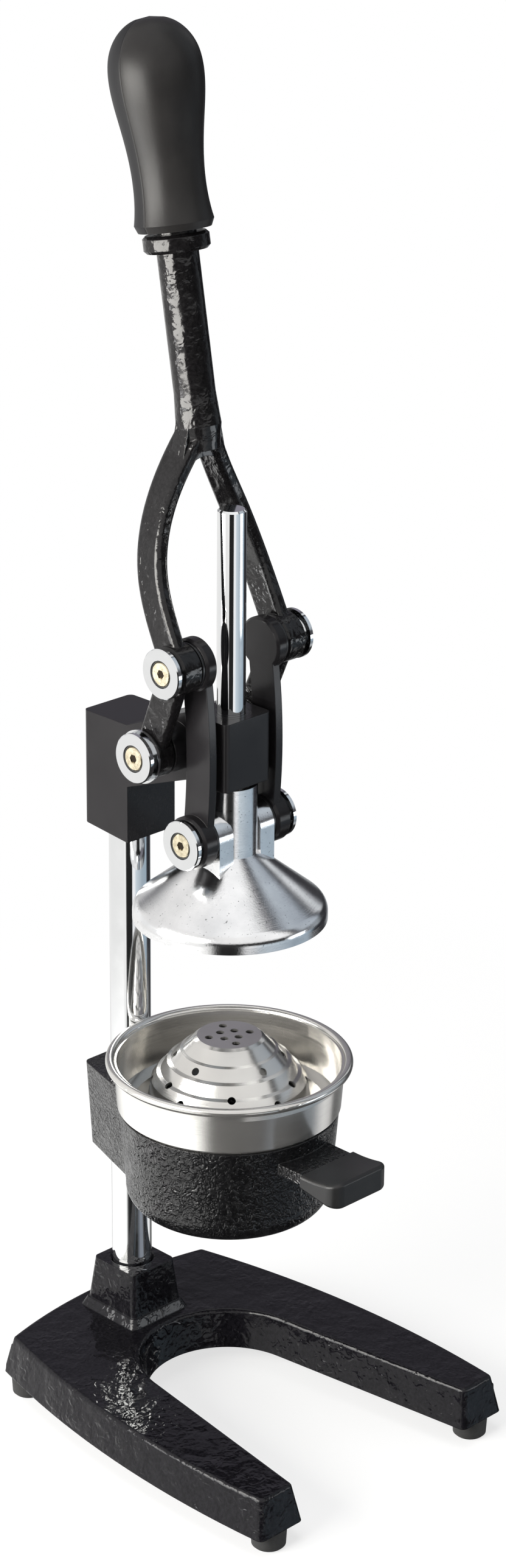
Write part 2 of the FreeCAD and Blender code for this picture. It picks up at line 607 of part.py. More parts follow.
def strainer_cup():
    rim = BOWL_TOP_Z
    lip_z = rim + CUP_H - LIP_TUBE_R
    floor = rim - CUP_FLOOR_DROP
    taper = (BOWL_TOP_R - BOWL_LOW_R) / (BOWL_H - BOWL_ROUND_H)
    skirt_r = BOWL_TOP_R - BOWL_WALL - taper * (CUP_FLOOR_DROP + SHEET) - AIR - SHEET
    bend = rim + CUP_H * CUP_WALL_BEND
    back = SHEET * DOME_FORM
    wall = [(CUP_WALL_TOP_R, lip_z), (CUP_WALL_TOP_R, bend),
            (CUP_WALL_LOW_R, rim + CUP_SEAT), (CUP_WALL_LOW_R - CUP_SEAT, rim), (skirt_r + SHEET, rim),
            (skirt_r + SHEET, floor - SHEET)]
    skin = [DOME_FLANK, DOME_BEAD_LOW, DOME_STEP_LOW, DOME_BEAD_HIGH, DOME_STEP_HIGH, DOME_BEAD_TOP,
            DOME_STEP_TOP, DOME_CROWN, DOME_TOP]
    dome = [(DOME_BASE_R, floor - SHEET), (DOME_BASE_R - SHEET, floor)]
    dome += [(r - back, rim + h - back) for r, h in skin[:-1]]
    dome += [(DOME_TOP[0] - SHEET / 2, rim + DOME_TOP[1] - SHEET), (0, rim + DOME_TOP[1] - SHEET)]
    top = [(0, rim + DOME_TOP[1])] + [(r, rim + h) for r, h in skin[::-1]]
    top += [(DOME_BASE_R, floor), (skirt_r, floor), (skirt_r, rim + SHEET),
            (CUP_WALL_LOW_R - SHEET, rim + SHEET + CUP_SEAT * 0.8), (CUP_WALL_TOP_R - SHEET, bend),
            (CUP_WALL_TOP_R - SHEET, lip_z)]
    body = turned(wall + dome + top, 0, PRESS_Y)
    lip_r = LIP_R - LIP_TUBE_R
    lip = Part.makeTorus(lip_r, LIP_TUBE_R, vec(0, PRESS_Y, lip_z))
    body = body.fuse(lip).removeSplitter()
    for r, z, tilt, angles in drain_rows():
        for a in angles:
            turn = math.radians(VIEW_TURN + a)
            out = vec(math.cos(turn), math.sin(turn), 0)
            lean = math.radians(tilt)
            axis = out * math.sin(lean) + vec(0, 0, math.cos(lean))
            start = vec(0, PRESS_Y, z) + out * r - axis * DRAIN_REACH
            body = body.cut(Part.makeCylinder(DRAIN_R, 2 * DRAIN_REACH, start, axis))
    return body


def drain_rows():
    """Rows of drain holes: radius, height, lean of the hole and the angles round the dome."""
    rim = BOWL_TOP_Z
    steep = math.degrees(math.atan2(DOME_CROWN[1] - DOME_STEP_HIGH[1], DOME_STEP_HIGH[0] - DOME_CROWN[0]))
    high_r = DOME_STEP_HIGH[0] - DRAIN_BELOW
    high_z = DOME_STEP_HIGH[1] + DRAIN_BELOW * math.tan(math.radians(steep))
    mid = ((DOME_BEAD_LOW[0] + DOME_STEP_LOW[0]) / 2, (DOME_BEAD_LOW[1] + DOME_STEP_LOW[1]) / 2)
    low = DRAIN_LOW
    return [
        (DOME_TOP[0] * DRAIN_IN, rim + DOME_TOP[1], 0, [-118 + 90 * i for i in range(4)]),
        (DOME_TOP[0] * DRAIN_OUT, rim + DOME_TOP[1], 0, [-162 + 90 * i for i in range(4)]),
        (high_r, rim + high_z, steep, FLANK_ANGLES),
        (mid[0], rim + mid[1], DRAIN_LEAN[0], [2 + 60 * i for i in range(6)]),
        (DOME_FLANK[0] - low, rim + DOME_FLANK[1] - low, DRAIN_LEAN[1], FLANK_ANGLES),
    ]


# Head casting

def head_casting():
    x = HEAD_HALF
    rear = POST_Y + POST_R + HEAD_WALL
    face = POST_Y - POST_R - HEAD_WALL
    gf = PRESS_Y - GUIDE_FRONT
    gb = PRESS_Y + GUIDE_BACK
    low = HEAD_BOTTOM_Z
    side = chain([vec(-x, rear, low + HEAD_REAR_RISE), vec(-x, rear, HEAD_TOP_Z), vec(-x, face, HEAD_TOP_Z),
                  vec(-x, gb, GUIDE_TOP_Z), vec(-x, gf, GUIDE_TOP_Z), vec(-x, gf, GUIDE_LOW_Z),
                  vec(-x, gb, GUIDE_LOW_Z), vec(-x, face, low + ARM_LOW), vec(-x, face, low)])
    body = Part.Face(side).extrude(vec(2 * x, 0, 0))
    plan = chain([vec(-x, rear + 1, 0), vec(x, rear + 1, 0), vec(x, face, 0), vec(GUIDE_HALF, gf - 1, 0),
                  vec(-GUIDE_HALF, gf - 1, 0), vec(-x, face, 0)])
    body = body.common(Part.Face(plan).extrude(vec(0, 0, 2 * HEAD_TOP_Z)))

    def corner(e):
        drop = abs(e.Vertexes[0].Z - e.Vertexes[-1].Z)
        level = abs(e.Vertexes[0].Y - e.Vertexes[-1].Y) + abs(e.Vertexes[0].X - e.Vertexes[-1].X)
        y = e.Vertexes[0].Y
        at_end = abs(y - rear) < 0.01 or abs(y - gf) < 0.01
        return level < 0.01 and drop > 5 and at_end

    body = fillet_where(body, HEAD_EDGE_R, corner)
    boss = cyl_x(BARREL_R, -FULCRUM_BOSS_X, FULCRUM_BOSS_X, FULCRUM[0], FULCRUM[1])
    body = body.fuse(boss).removeSplitter()
    body = body.cut(cyl_z(POST_R + SEAT_FIT, low - 1, POST_TOP_Z, 0, POST_Y))
    body = body.cut(cyl_z(BUSH_R + SEAT_FIT, GUIDE_LOW_Z - 1, GUIDE_TOP_Z + 1, 0, PRESS_Y))
    for sign in (-1, 1):
        x0 = min(sign * pin_tip_x("fulcrum"), sign * (FULCRUM_BOSS_X + 1))
        x1 = max(sign * pin_tip_x("fulcrum"), sign * (FULCRUM_BOSS_X + 1))
        body = body.cut(cyl_x(PIN_R + SEAT_FIT, x0, x1, FULCRUM[0], FULCRUM[1]))
    for z in head_screw_heights():
        body = body.cut(cyl_y(SET_SCREW_R + SEAT_FIT, POST_Y, rear + 1, 0, z))
    return body


def head_screw_heights():
    return [HEAD_BOTTOM_Z + HEAD_H * share for share in HEAD_SCREWS]


def head_set_screws():
    tip = POST_Y + POST_R + SEAT_FIT
    out = POST_Y + POST_R + HEAD_WALL - SET_SCREW_SINK
    return Part.Compound([set_screw(tip, out, z) for z in head_screw_heights()])


def guide_bush(z0):
    bore = ROD_R + SLIDE_FIT
    return turned([(bore, z0), (BUSH_R, z0), (BUSH_R, z0 + BUSH_LEN), (bore, z0 + BUSH_LEN)], 0, PRESS_Y)


# Pivots

PIVOT_AT = {"fulcrum": FULCRUM, "knee": KNEE, "lower": LOWER}
WASHER_SPAN = {
    "fulcrum": (LEVER_BARREL_OUT + AIR / 3, LEVER_BARREL_OUT + AIR / 3 + THIN_WASHER, SHOW_WASHER_R),
    "knee": (LINK_KNEE_OUT + AIR / 3, LINK_KNEE_OUT + AIR / 3 + THIN_WASHER, THIN_WASHER_R),
    "lower": (LINK_IN_X - THIN_WASHER, LINK_IN_X, THIN_WASHER_R),
}


def pin_tip_x(name):
    """Inner end of a pivot pin."""
    if name == "fulcrum":
        return HEAD_HALF - PIN_SEAT
    if name == "knee":
        return LINK_IN_X + LINK_SKIN + AIR
    return EAR_OUT_X + AIR


def cap_seat_x(name):
    """Face that the cap's neck bears on."""
    if name == "fulcrum":
        return WASHER_SPAN["fulcrum"][1]
    if name == "knee":
        return KNEE_BARREL_OUT
    return LINK_FOOT_OUT


def pivot_pin(name):
    y, z = PIVOT_AT[name]
    seat = cap_seat_x(name)
    body = cyl_x(PIN_R, pin_tip_x(name), seat, y, z)
    return body.cut(cyl_x(CAP_SCREW_R + SEAT_FIT, seat - CAP_SCREW_REACH - 1, seat + 1, y, z))


def pivot_cap(name):
    y, z = PIVOT_AT[name]
    x0 = cap_seat_x(name)
    x1 = x0 + CAP_NECK
    x2 = x1 + CAP_T
    bore = CAP_SCREW_R + SEAT_FIT
    floor = x2 - CAP_RECESS
    profile = [(x0, bore), (x0, CAP_NECK_R), (x1, CAP_NECK_R), (x1, CAP_R), (x2 - CAP_EDGE, CAP_R),
               (x2, CAP_R - CAP_EDGE), (x2, CAP_RECESS_R), (floor, CAP_RECESS_R), (floor, bore)]
    return turned_x(profile, y, z)


def pivot_screw(name):
    y, z = PIVOT_AT[name]
    floor = cap_seat_x(name) + CAP_NECK + CAP_T - CAP_RECESS
    face = floor + CAP_SCREW_HEAD
    tip = cap_seat_x(name) - CAP_SCREW_REACH
    dome = SCREW_DOME
    body = turned_x([(tip, 0), (tip, CAP_SCREW_R), (floor, CAP_SCREW_R), (floor, CAP_SCREW_HEAD_R),
                     (face - dome, CAP_SCREW_HEAD_R), (face, CAP_SCREW_HEAD_R - dome), (face, 0)], y, z)
    r = SOCKET_AF / math.sqrt(3)
    turns = [math.radians(60 * i) for i in range(6)]
    ring = [vec(face - SOCKET_DEPTH, y + r * math.cos(t), z + r * math.sin(t)) for t in turns]
    socket = Part.Face(chain(ring)).extrude(vec(SOCKET_DEPTH + 1, 0, 0))
    return body.cut(socket)


def pivot_washer(name):
    y, z = PIVOT_AT[name]
    x0, x1, r = WASHER_SPAN[name]
    return cyl_x(r, x0, x1, y, z).cut(cyl_x(PIN_R + SLIDE_FIT, x0 - 1, x1 + 1, y, z))


# Links

def link_plate():
    """Flat bar from the knee pivot to the lower pivot, bowed towards the front."""
    y1, z1 = KNEE
    y3, z3 = LOWER
    x = LINK_IN_X
    mid_y = (y1 + y3) / 2 - LINK_BOW
    mid_z = (z1 + z3) / 2
    h = LINK_HALF
    wire = Part.Wire([
        arc(vec(x, y1 - h, z1), vec(x, mid_y - h, mid_z), vec(x, y3 - h, z3)),
        line(vec(x, y3 - h, z3), vec(x, y3 + h, z3)),
        arc(vec(x, y3 + h, z3), vec(x, mid_y + h, mid_z), vec(x, y1 + h, z1)),
        line(vec(x, y1 + h, z1), vec(x, y1 - h, z1)),
    ])
    return Part.Face(wire).extrude(vec(LINK_T, 0, 0))


def boss_x(r, x0, x1, y, z):
    """Round boss along X with its outer and inner edges broken."""
    e = BOSS_EDGE
    return turned_x([(x0, 0), (x0, r - e), (x0 + e, r), (x1 - e, r), (x1, r - e), (x1, 0)], y, z)


def right_link():
    body = fuse_all([link_plate(), boss_x(LINK_BOSS_R, LINK_IN_X, LINK_KNEE_OUT, KNEE[0], KNEE[1]),
                     boss_x(LINK_BOSS_R, LINK_IN_X, LINK_FOOT_OUT, LOWER[0], LOWER[1])])
    body = body.cut(cyl_x(PIN_R + SLIDE_FIT, LINK_IN_X + LINK_SKIN, LINK_KNEE_OUT + 1, KNEE[0], KNEE[1]))
    return body.cut(cyl_x(PIN_R + SEAT_FIT, 0, LINK_FOOT_OUT + 1, LOWER[0], LOWER[1]))


# Lever

def bar_section(center, tangent, half_x, half_w, r):
    """Round-cornered section of a fork arm, square to its path, with one side kept level."""
    t = tangent.normalize()
    side = vec(1, 0, 0) - t * t.x
    side.normalize()
    depth = t.cross(side)
    k = r * (1 - math.sqrt(0.5))
    corners = ((1, -1, 0), (1, 1, 1), (-1, 1, 0), (-1, -1, 1))
    arcs = []
    for sx, sy, swap in corners:
        a = center + side * (sx * (half_x - r)) + depth * (sy * half_w)
        m = center + side * (sx * (half_x - k)) + depth * (sy * (half_w - k))
        b = center + side * (sx * half_x) + depth * (sy * (half_w - r))
        arcs.append((b, m, a) if swap else (a, m, b))
    edges = []
    for i, (a, m, b) in enumerate(arcs):
        edges.append(arc(a, m, b))
        edges.append(line(b, arcs[(i + 1) % 4][0]))
    return Part.Wire(edges)


def swept_bar(points, stations):
    """Fork arm: sections spaced along a smooth curve through the points."""
    curve = Part.BSplineCurve()
    curve.interpolate(points)
    first = curve.FirstParameter
    span = curve.LastParameter - first
    wires = []
    for i in range(stations):
        u = first + span * i / (stations - 1)
        wires.append(bar_section(curve.value(u), curve.tangent(u)[0], ARM_X_T / 2, ARM_Y_T / 2, ARM_EDGE_R))
    return loft(wires, False)


def fork_arm():
    """Right arm of the fork, from the shaft down to the knee pivot's barrel."""
    x_end = (KNEE_BARREL_IN + KNEE_BARREL_OUT) / 2
    up = SHAFT_FOOT_UP
    back = FORK_BULGE
    return swept_bar([vec(x_end * x, KNEE[0] + back * y, KNEE[1] + up * z) for x, y, z in ARM_PATH], 9)


def crank_arm():
    """Right arm between the knee pivot and the fulcrum."""
    xk = (KNEE_BARREL_IN + KNEE_BARREL_OUT) / 2
    xf = (LEVER_BARREL_IN + LEVER_BARREL_OUT) / 2
    return swept_bar([vec(xk, KNEE[0], KNEE[1]), vec((xk + xf) / 2, (KNEE[0] + FULCRUM[0]) / 2,
                      (KNEE[1] + FULCRUM[1]) / 2), vec(xf, FULCRUM[0], FULCRUM[1])], 3)


def fork_web():
    """Flat web that closes the top of the fork, with an arched lower edge."""
    y = KNEE[0] + FORK_BULGE * WEB_BACK - WEB_T / 2
    top = KNEE[1] + SHAFT_FOOT_UP + WEB_OVERLAP
    crotch = KNEE[1] + CROTCH_UP
    low = crotch - WEB_ARCH
    wide = WEB_HALF
    neck = SHAFT_R - SHAFT_SWELL
    wire = Part.Wire([
        line(vec(-neck, y, top), vec(-wide, y, low)),
        arc(vec(-wide, y, low), vec(0, y, crotch), vec(wide, y, low)),
        line(vec(wide, y, low), vec(neck, y, top)),
        line(vec(neck, y, top), vec(-neck, y, top)),
    ])
    return Part.Face(wire).extrude(vec(0, WEB_T, 0))


def on_shaft(profile):
    """Turned piece about the lever's shaft, from (radius, distance along the shaft) corners or a face."""
    face = profile if profile.__class__ is not list else Part.Face(chain([vec(r, 0, s) for r, s in profile]))
    body = face.revolve(vec(0, 0, 0), vec(0, 0, 1), 360)
    body.rotate(vec(0, 0, 0), vec(1, 0, 0), -SHAFT_TILT)
    body.translate(vec(0, KNEE[0] + SHAFT_FOOT_BACK, KNEE[1] + SHAFT_FOOT_UP))
    return body


def lever_arm():
    shaft = on_shaft([(0, -SHAFT_ROOT), (SHAFT_R - SHAFT_SWELL, -SHAFT_ROOT), (SHAFT_R + SHAFT_SWELL, 0),
                      (SHAFT_R, SHAFT_TAPER), (SHAFT_R, SHAFT_LEN), (TANG_R, SHAFT_LEN),
                      (TANG_R, SHAFT_LEN + TANG_LEN), (0, SHAFT_LEN + TANG_LEN)])
    arm = fork_arm()
    crank = crank_arm()
    pieces = [shaft, fork_web()]
    for side in (arm, crank):
        pieces.append(side)
        pieces.append(mirrored(side))
    for sign in (-1, 1):
        for (x0, x1), (y, z) in (((KNEE_BARREL_IN, KNEE_BARREL_OUT), KNEE),
                                 ((LEVER_BARREL_IN, LEVER_BARREL_OUT), FULCRUM)):
            barrel = boss_x(BARREL_R, x0, x1, y, z)
            pieces.append(barrel if sign > 0 else mirrored(barrel))
    body = fuse_all(pieces)
    for sign in (-1, 1):
        knee = cyl_x(PIN_R + SEAT_FIT, KNEE_BARREL_IN - 5, KNEE_BARREL_OUT + 5, KNEE[0], KNEE[1])
        ful = cyl_x(PIN_R + SLIDE_FIT, LEVER_BARREL_IN - 5, LEVER_BARREL_OUT + 5, FULCRUM[0], FULCRUM[1])
        face_k = cyl_x(BARREL_R + MILL_IN, LINK_IN_X, KNEE_BARREL_IN, KNEE[0], KNEE[1])
        out_k = cyl_x(BARREL_R + MILL_IN, KNEE_BARREL_OUT, KNEE_BARREL_OUT + MILL_LEN, KNEE[0], KNEE[1])
        face_f = cyl_x(BARREL_R + MILL_IN, LINK_IN_X, LEVER_BARREL_IN, FULCRUM[0], FULCRUM[1])
        f_end = LEVER_BARREL_OUT + MILL_LEN
        out_f = cyl_x(BARREL_R + MILL_OUT, LEVER_BARREL_OUT, f_end, FULCRUM[0], FULCRUM[1])
        for tool in (knee, ful, face_k, out_k, face_f, out_f):
            body = body.cut(tool if sign > 0 else mirrored(tool))
    return body


def grip_ferrule():
    s1 = SHAFT_LEN - FERRULE_GAP
    s0 = s1 - FERRULE_LEN
    edge = FERRULE_EDGE
    bore = SHAFT_R + SEAT_FIT
    return on_shaft([(bore, s0), (FERRULE_R - edge, s0), (FERRULE_R, s0 + edge), (FERRULE_R, s1 - edge),
                     (FERRULE_R - edge, s1), (bore, s1)])


def lever_grip():
    """Pear-shaped grip with a flared lip at its lower end, bored for the tang."""
    s0 = SHAFT_LEN
    n = HANDLE_LEN
    tang = TANG_R + SEAT_FIT
    waist = HANDLE_WAIST_R
    bulb = HANDLE_BULB_R
    tip = HANDLE_CROWN_R
    outline = Part.BSplineCurve()
    outline.interpolate([vec(r, 0, s0 + n * share) for r, share in (
        (HANDLE_LIP_R, HANDLE_LIP), (waist * 1.04, 0.1), (waist, HANDLE_WAIST), (waist * 1.023, 0.33),
        ((waist + bulb) / 2, 0.5), (bulb, HANDLE_BULB), (bulb * 0.92, 0.85), (bulb * 0.62, 0.95),
        (tip, HANDLE_CROWN))])
    start = vec(HANDLE_LIP_R, 0, s0 + n * HANDLE_LIP)
    end = vec(tip, 0, s0 + n * HANDLE_CROWN)
    reach = s0 + TANG_LEN + 1
    wire = Part.Wire([
        line(vec(tang, 0, s0), vec(HANDLE_LIP_R - HANDLE_LIP_EDGE, 0, s0)),
        line(vec(HANDLE_LIP_R - HANDLE_LIP_EDGE, 0, s0), start),
        outline.toShape(),
        line(end, vec(0, 0, s0 + n)),
        line(vec(0, 0, s0 + n), vec(0, 0, reach)),
        line(vec(0, 0, reach), vec(tang, 0, reach)),
        line(vec(tang, 0, reach), vec(tang, 0, s0)),
    ])
    return on_shaft(Part.Face(wire))


# Press cone and rod

def ear():
    """Right ear of the cone, with a round top about the lower pivot."""
    x = EAR_OUT_X - EAR_T
    y, z = LOWER
    root = CONE_RIM_Z + EAR_ROOT
    r = EAR_R
    wire = Part.Wire([
        line(vec(x, y - r, root), vec(x, y - r, z)),
        arc(vec(x, y - r, z), vec(x, y, z + r), vec(x, y + r, z)),
        line(vec(x, y + r, z), vec(x, y + r, root)),
        line(vec(x, y + r, root), vec(x, y - r, root)),
    ])
    return Part.Face(wire).extrude(vec(EAR_T, 0, 0))


def press_cone():
    z0 = CONE_RIM_Z
    shoulder = z0 + CONE_H
    edge_z = z0 + CONE_RIM_H
    y = PRESS_Y
    in_r = CONE_RIM_R - CONE_WALL
    lip = z0 + CONE_LIP
    peak_r = STEM_R * CONE_PEAK
    roof = shoulder - CONE_ROOF_T
    body = turned([(0, z0), (CONE_RIM_R, z0), (CONE_RIM_R, edge_z), (STEM_R, shoulder), (STEM_R, STEM_TOP_Z),
                   (0, STEM_TOP_Z)], 0, y)
    body = fillet_where(body, CONE_EDGE_R, lambda e: ends_level(e, edge_z))
    body = fuse_all([body, ear(), mirrored(ear())])
    body = body.cut(turned([(0, z0 - 1), (in_r, z0 - 1), (in_r, lip), (peak_r, roof), (0, roof)], 0, y))
    for sign in (-1, 1):
        hole = cyl_x(PIN_R + SLIDE_FIT, EAR_OUT_X - EAR_T + EAR_SKIN, EAR_OUT_X + 1, LOWER[0], LOWER[1])
        body = body.cut(hole if sign > 0 else mirrored(hole))
    return body.cut(cyl_z(ROD_SPIGOT_R + SEAT_FIT, STEM_TOP_Z - ROD_SPIGOT - 1, STEM_TOP_Z + 1, 0, y))


def guide_rod():
    top = HEAD_BOTTOM_Z + ROD_TOP_UP
    c = ROD_CHAMFER
    low = STEM_TOP_Z - ROD_SPIGOT
    profile = [(0, low), (ROD_SPIGOT_R, low), (ROD_SPIGOT_R, STEM_TOP_Z), (ROD_R, STEM_TOP_Z), (ROD_R, top - c),
               (ROD_R - c, top), (0, top)]
    return turned(profile, 0, PRESS_Y)


# Write every piece

export("base_casting", base_casting())
for spot, (foot_x, foot_y) in foot_places().items():
    export("foot_" + spot, rubber_foot(foot_x, foot_y))
export("foot_screws", Part.Compound([foot_screw(x, y) for x, y in foot_places().values()]))
export("post", post())
export("post_washer", post_washer())
export("post_bolt", post_bolt())
screw_tip = POST_Y + POST_R + SEAT_FIT
export("base_set_screw", set_screw(screw_tip, POST_Y - BOSS_FORWARD + BOSS_HALF_Y, DECK_Z + BOSS_H / 2))
export("bracket_casting", bracket_casting())
export("bracket_set_screw", set_screw(screw_tip, POST_Y + POST_R + NECK_WALL - NECK_DRAFT,
                                      BOWL_TOP_Z - NECK_DROP - NECK_H / 2))
export("tab_grip", tab_grip())
export("strainer_cup", strainer_cup())
export("head_casting", head_casting())
export("head_set_screws", head_set_screws())
export("guide_bush_upper", guide_bush(GUIDE_TOP_Z - BUSH_LEN))
export("guide_bush_lower", guide_bush(GUIDE_LOW_Z))
export("lever_arm", lever_arm())
export("grip_ferrule", grip_ferrule())
export("lever_grip", lever_grip())
export("link_right", right_link())
export("link_left", mirrored(right_link()))
export("press_cone", press_cone())
export("guide_rod", guide_rod())
PIVOT_PARTS = {"pin": pivot_pin, "cap": pivot_cap, "screw": pivot_screw, "washer": pivot_washer}
for pivot in ("fulcrum", "knee", "lower"):
    for part_name, make in PIVOT_PARTS.items():
        right = make(pivot)
        export("%s_%s_right" % (pivot, part_name), right)
        export("%s_%s_left" % (pivot, part_name), mirrored(right))
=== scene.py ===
import json
import math

import bpy
from mathutils import Matrix, Vector

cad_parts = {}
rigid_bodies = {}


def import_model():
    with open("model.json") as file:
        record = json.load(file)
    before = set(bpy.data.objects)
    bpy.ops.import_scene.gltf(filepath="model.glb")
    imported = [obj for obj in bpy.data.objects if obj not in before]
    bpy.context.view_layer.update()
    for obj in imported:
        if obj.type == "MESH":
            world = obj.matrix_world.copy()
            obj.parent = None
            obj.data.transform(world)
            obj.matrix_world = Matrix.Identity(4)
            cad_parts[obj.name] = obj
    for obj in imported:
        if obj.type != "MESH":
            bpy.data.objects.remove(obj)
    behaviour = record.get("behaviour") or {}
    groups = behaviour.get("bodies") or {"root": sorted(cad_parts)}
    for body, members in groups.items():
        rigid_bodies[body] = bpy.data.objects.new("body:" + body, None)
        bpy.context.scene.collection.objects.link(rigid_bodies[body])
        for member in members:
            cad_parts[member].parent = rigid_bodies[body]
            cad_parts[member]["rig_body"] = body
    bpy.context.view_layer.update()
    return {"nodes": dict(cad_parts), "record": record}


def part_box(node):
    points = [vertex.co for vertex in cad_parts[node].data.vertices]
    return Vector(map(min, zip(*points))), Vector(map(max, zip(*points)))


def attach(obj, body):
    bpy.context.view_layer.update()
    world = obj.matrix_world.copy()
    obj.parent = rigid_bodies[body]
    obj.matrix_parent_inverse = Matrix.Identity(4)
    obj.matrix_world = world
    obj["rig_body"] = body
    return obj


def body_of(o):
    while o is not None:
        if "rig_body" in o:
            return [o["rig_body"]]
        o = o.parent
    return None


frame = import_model()
nodes = frame["nodes"]

MM = 0.001


# Small helpers for shader nodes

class NodeTree:
    """Short calls for the nodes of a material or of the world."""

    def __init__(self, tree):
        self.tree = tree

    def add(self, kind, **settings):
        node = self.tree.nodes.new(kind)
        for key, value in settings.items():
            setattr(node, key, value)
        return node

    def link(self, source, target):
        self.tree.links.new(source, target)

    def feed(self, value, socket):
        """A number or a colour is set on the socket, and another node's output is linked to it."""
        if isinstance(value, tuple):
            socket.default_value = (*value, 1)
        elif isinstance(value, (int, float)):
            socket.default_value = value
        else:
            self.link(value, socket)

    def math(self, operation, a, b=0.0):
        node = self.add("ShaderNodeMath", operation=operation)
        self.feed(a, node.inputs[0])
        self.feed(b, node.inputs[1])
        return node.outputs["Value"]

    def ramp(self, source, low, high, to_low=0.0, to_high=1.0, **settings):
        """source from low..high mapped to to_low..to_high, clamped."""
        node = self.add("ShaderNodeMapRange", **settings)
        for key, value in (("From Min", low), ("From Max", high), ("To Min", to_low), ("To Max", to_high)):
            node.inputs[key].default_value = value
        self.link(source, node.inputs["Value"])
        return node.outputs["Result"]

    def mix(self, fac, a, b):
        """Colour between a and b, each of which is a colour or another node's output."""
        node = self.add("ShaderNodeMix", data_type="RGBA")
        self.feed(fac, node.inputs["Factor"])
        self.feed(a, node.inputs["A"])
        self.feed(b, node.inputs["B"])
        return node.outputs["Result"]

    def split(self, vector):
        node = self.add("ShaderNodeSeparateXYZ")
        self.link(vector, node.inputs["Vector"])
        return node.outputs["X"], node.outputs["Y"], node.outputs["Z"]


class Shader(NodeTree):
    """A new material: its shader, and patterns laid out in the object's own coordinates."""

    def __init__(self, name):
        self.material = bpy.data.materials.new(name)
        self.material.use_nodes = True
        super().__init__(self.material.node_tree)
        self.bsdf = self.tree.nodes["Principled BSDF"]
        self.object_space = self.add("ShaderNodeTexCoord").outputs["Object"]

    def set(self, **values):
        for key, value in values.items():
            self.bsdf.inputs[key.replace("_", " ")].default_value = value

    def stretched(self, scale):
        """Object coordinates multiplied by a vector."""
        node = self.add("ShaderNodeMapping")
        node.inputs["Scale"].default_value = scale
        self.link(self.object_space, node.inputs["Vector"])
        return node.outputs["Vector"]

    def noise(self, size_mm, detail=3.0, rough=0.5, distortion=0.0, vector=None):
        """Cloud-like noise whose blobs are about size_mm across."""
        node = self.add("ShaderNodeTexNoise")
        node.inputs["Scale"].default_value = 1.0 / (size_mm * MM)
        node.inputs["Detail"].default_value = detail
        node.inputs["Roughness"].default_value = rough
        node.inputs["Distortion"].default_value = distortion
        self.link(vector or self.object_space, node.inputs["Vector"])
        return node.outputs["Fac"]

    def distance(self, x, y):
        """Distance from the upright line at x, y, and the height."""
        across, along, height = self.split(self.object_space)
        across = self.math("SUBTRACT", across, x)
        along = self.math("SUBTRACT", along, y)
        square = self.math("ADD", self.math("MULTIPLY", across, across), self.math("MULTIPLY", along, along))
        return self.math("SQRT", square), height

    def bump(self, height, depth_mm, after=None):
        """Relief of depth_mm, on top of an earlier bump."""
        node = self.add("ShaderNodeBump")
        node.inputs["Strength"].default_value = 1.0
        node.inputs["Distance"].default_value = depth_mm * MM
        self.link(height, node.inputs["Height"])
        if after is not None:
            self.link(after, node.inputs["Normal"])
        return node.outputs["Normal"]

    def rounded(self, radius_mm):
        """Normal that makes sharp edges look rounded, so that they catch the light."""
        node = self.add("ShaderNodeBevel", samples=4)
        node.inputs["Radius"].default_value = radius_mm * MM
        return node.outputs["Normal"]

    def finish(self, color, roughness=None, normal=None):
        for name, source in (("Base Color", color), ("Roughness", roughness), ("Normal", normal)):
            if source is not None:
                self.link(source, self.bsdf.inputs[name])
        return self.material


# Materials: lengths in millimetres, colours linear, roughness from the smoothest spot to the roughest

def enamel(name, ripple_mm, depth_mm, dark, light, smoothest, specular, edge_mm):
    """Gloss black enamel over a rough casting: waves, soft ripples, small lumps and a few pits."""
    s = Shader(name)
    waves = s.noise(ripple_mm * 2.6, detail=1.0, rough=0.4, distortion=0.5)
    ripples = s.noise(ripple_mm, detail=1.2, distortion=0.8)
    lumps = s.noise(ripple_mm * 0.4, detail=1.0)
    pits = s.ramp(s.noise(ripple_mm * 0.7, detail=4.0, rough=0.6), 0.68, 0.74, 1.0, 0.0)
    patches = s.ramp(s.noise(ripple_mm * 7, detail=2.0), 0.42, 0.6, 0.25, 1.0)
    normal = s.bump(waves, depth_mm * 1.3, s.rounded(edge_mm))
    normal = s.bump(s.math("MULTIPLY", ripples, patches), depth_mm, normal)
    normal = s.bump(lumps, depth_mm * 0.08, normal)
    normal = s.bump(pits, depth_mm * 0.12, normal)
    color = s.mix(s.ramp(lumps, 0.35, 0.65), dark, light)
    rough = s.ramp(s.noise(ripple_mm * 3), 0.3, 0.7, smoothest, smoothest + 0.1)
    s.set(Specular_IOR_Level=specular)
    return s.finish(color, rough, normal)


def hammered(name):
    """Hammer-finish paint: close worm-like ridges and small lumps, uneven in height."""
    s = Shader(name)
    worms = s.noise(3.3, detail=1.0, rough=0.45, distortion=0.8)
    ridges = s.math("ABSOLUTE", s.math("SUBTRACT", worms, 0.5))
    lumps = s.noise(1.8, detail=1.0, distortion=0.6)
    patches = s.ramp(s.noise(14, detail=2.0), 0.4, 0.6, 0.5, 1.0)
    normal = s.bump(s.math("MULTIPLY", s.ramp(ridges, 0.0, 0.2), patches), 0.3, s.rounded(0.9))
    normal = s.bump(lumps, 0.26, normal)
    color = s.mix(s.ramp(ridges, 0.02, 0.14), (0.003, 0.003, 0.0033), (0.0075, 0.0075, 0.008))
    return s.finish(color, s.ramp(lumps, 0.3, 0.7, 0.08, 0.15), normal)


